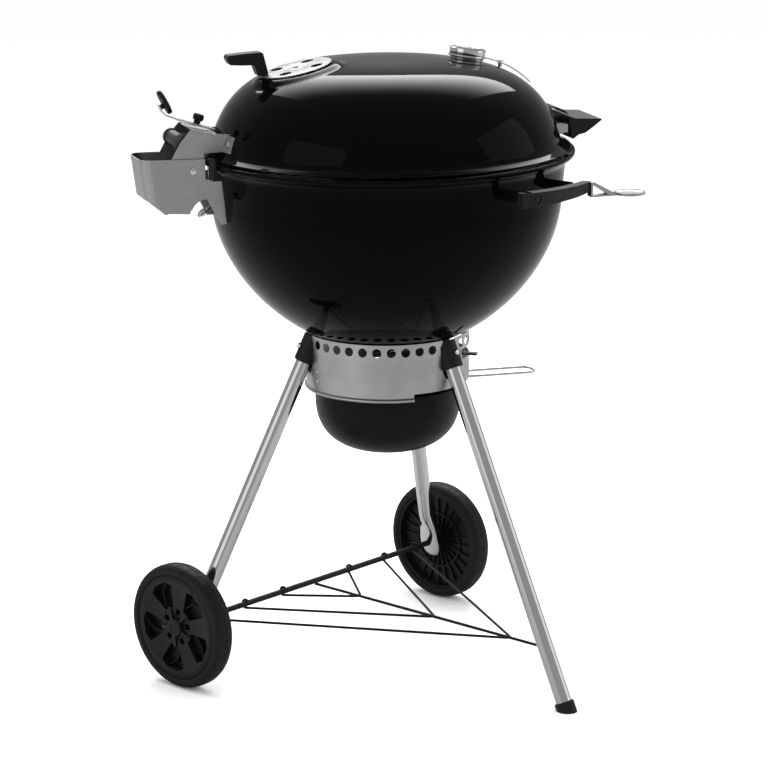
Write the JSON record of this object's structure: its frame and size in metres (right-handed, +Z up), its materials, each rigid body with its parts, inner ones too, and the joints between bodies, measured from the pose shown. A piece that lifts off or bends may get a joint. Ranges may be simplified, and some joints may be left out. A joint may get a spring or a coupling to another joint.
{
  "type": "kettle charcoal grill",
  "caption": "Kettle charcoal grill: hinged domed lid over a deep round bowl on splayed tube legs, with wheels at one side, a wire rack and an ash pail below a vented band.",
  "frame": {"origin": "on the ground under the middle of the whole grill's bounding box", "axes": "+Z up; -Y is the cook's side, with the lid handle; +Y is the hinge side; -X is the side of the standing foot"},
  "size_m": [0.7292, 0.7582, 1.0065],
  "materials": {
    "enamel": "glossy black porcelain enamel",
    "chrome_tube": "bright plated tube",
    "brushed": "brushed stainless sheet",
    "aluminium": "satin sheet",
    "nylon": "matt black moulded plastic",
    "paint": "satin black paint",
    "rubber": "black rubber",
    "dark_steel": "dark oiled steel",
    "wire": "plated steel wire",
    "glass": "clear dial glass",
    "needle": "red needle"
  },
  "bodies": {
    "base": {"ash_band": "brushed", "axle": "paint", "bowl": "enamel", "bowl_grip_left": "nylon", "bowl_grip_right": "nylon", "charcoal_grate": "wire", "cooking_grate": "wire", "foot_cap": "rubber", "fuel_basket_left": "dark_steel", "fuel_basket_right": "dark_steel", "handle_strap_left": "enamel", "handle_strap_right": "enamel", "hinge_housing": "brushed", "hinge_pin": "wire", "hinge_spring": "dark_steel", "leg_collar_left": "nylon", "leg_collar_rear": "nylon", "leg_collar_right": "nylon", "leg_left": "chrome_tube", "leg_rear": "chrome_tube", "leg_right": "chrome_tube", "leg_screw_left": "wire", "leg_screw_rear": "wire", "leg_screw_right": "wire", "plate_arm": "brushed", "rest_plate": "brushed", "rim_clamp_left": "paint", "rim_clamp_right": "paint", "wing_screw": "wire", "wire_rack": "paint"},
    "pail": {"ash_pail": "paint", "pail_handle": "wire"},
    "damper": {"damper_disc": "aluminium", "damper_tab": "nylon"},
    "lid": {"damper_rivet": "wire", "gauge_case": "chrome_tube", "gauge_clip": "chrome_tube", "gauge_glass": "glass", "handle_mount": "brushed", "handle_shield": "enamel", "lid": "enamel", "lid_bracket": "brushed", "lid_handle": "nylon", "lock_bar": "brushed", "spring_drum": "dark_steel"},
    "needle": {"gauge_needle": "needle"},
    "flap_left": {"grate_flap_left": "wire"},
    "flap_right": {"grate_flap_right": "wire"},
    "insert": {"grate_insert": "wire"},
    "release": {"lever_pad": "nylon", "release_lever": "wire"},
    "sweeper": {"sweeper_blades": "dark_steel", "vent_lever": "wire"},
    "knob": {"tension_knob": "nylon"},
    "wheel_rear": {"wheel_rear_cap": "nylon", "wheel_rear_rim": "nylon", "wheel_rear_tyre": "rubber"},
    "wheel_right": {"wheel_right_cap": "nylon", "wheel_right_rim": "nylon", "wheel_right_tyre": "rubber"}
  },
  "joints": [
    {"name": "lid_hinge", "type": "hinge", "parent": "base", "child": "lid", "pos_m": [-0.0253, 0.2884, 0.836], "axis": [-1, 0, 0], "range_deg": [0, 54]},
    {"name": "damper_turn", "type": "hinge", "parent": "lid", "child": "damper", "pos_m": [-0.0253, 0.10928, 0.97944], "axis": [0, 0.2096, 0.9778], "range_deg": [-45, 45]},
    {"name": "needle_turn", "type": "hinge", "parent": "lid", "child": "needle", "pos_m": [-0.0253, -0.17071, 0.9934], "axis": [0, -0.1478, 0.989], "range_deg": [-120, 120]},
    {"name": "release_press", "type": "hinge", "parent": "lid", "child": "release", "pos_m": [-0.0253, 0.3079, 0.913], "axis": [-1, 0, 0], "range_deg": [0, 12], "stiffness_Nm_per_rad": 0.6, "springref_deg": -8.59},
    {"name": "knob_turn", "type": "hinge", "parent": "lid", "child": "knob", "pos_m": [-0.0253, 0.27028, 0.90228], "axis": [0, -0.3022, 0.9532], "range_deg": [-180, 180]},
    {"name": "vent_sweep", "type": "hinge", "parent": "base", "child": "sweeper", "pos_m": [-0.0253, -0.0346, 0.53], "axis": [0, 0, 1], "range_deg": [0, 55]},
    {"name": "pail_slide", "type": "slide", "parent": "base", "child": "pail", "axis": [0, -1, 0], "range_m": [0, 0.15]},
    {"name": "flap_left_lift", "type": "hinge", "parent": "base", "child": "flap_left", "pos_m": [-0.2153, -0.0346, 0.839], "axis": [0, 1, 0], "range_deg": [0, 75]},
    {"name": "flap_right_lift", "type": "hinge", "parent": "base", "child": "flap_right", "pos_m": [0.1647, -0.0346, 0.839], "axis": [0, -1, 0], "range_deg": [0, 75]},
    {"name": "insert_lift", "type": "slide", "parent": "base", "child": "insert", "axis": [0, 0, 1], "range_m": [0, 0.06]},
    {"name": "wheel_rear_spin", "type": "hinge", "parent": "base", "child": "wheel_rear", "pos_m": [-0.0393, 0.316, 0.1012], "axis": [0.5, -0.866, 0], "continuous": true},
    {"name": "wheel_right_spin", "type": "hinge", "parent": "base", "child": "wheel_right", "pos_m": [0.27133, -0.22203, 0.1012], "axis": [0.5, -0.866, 0], "continuous": true}
  ]
}
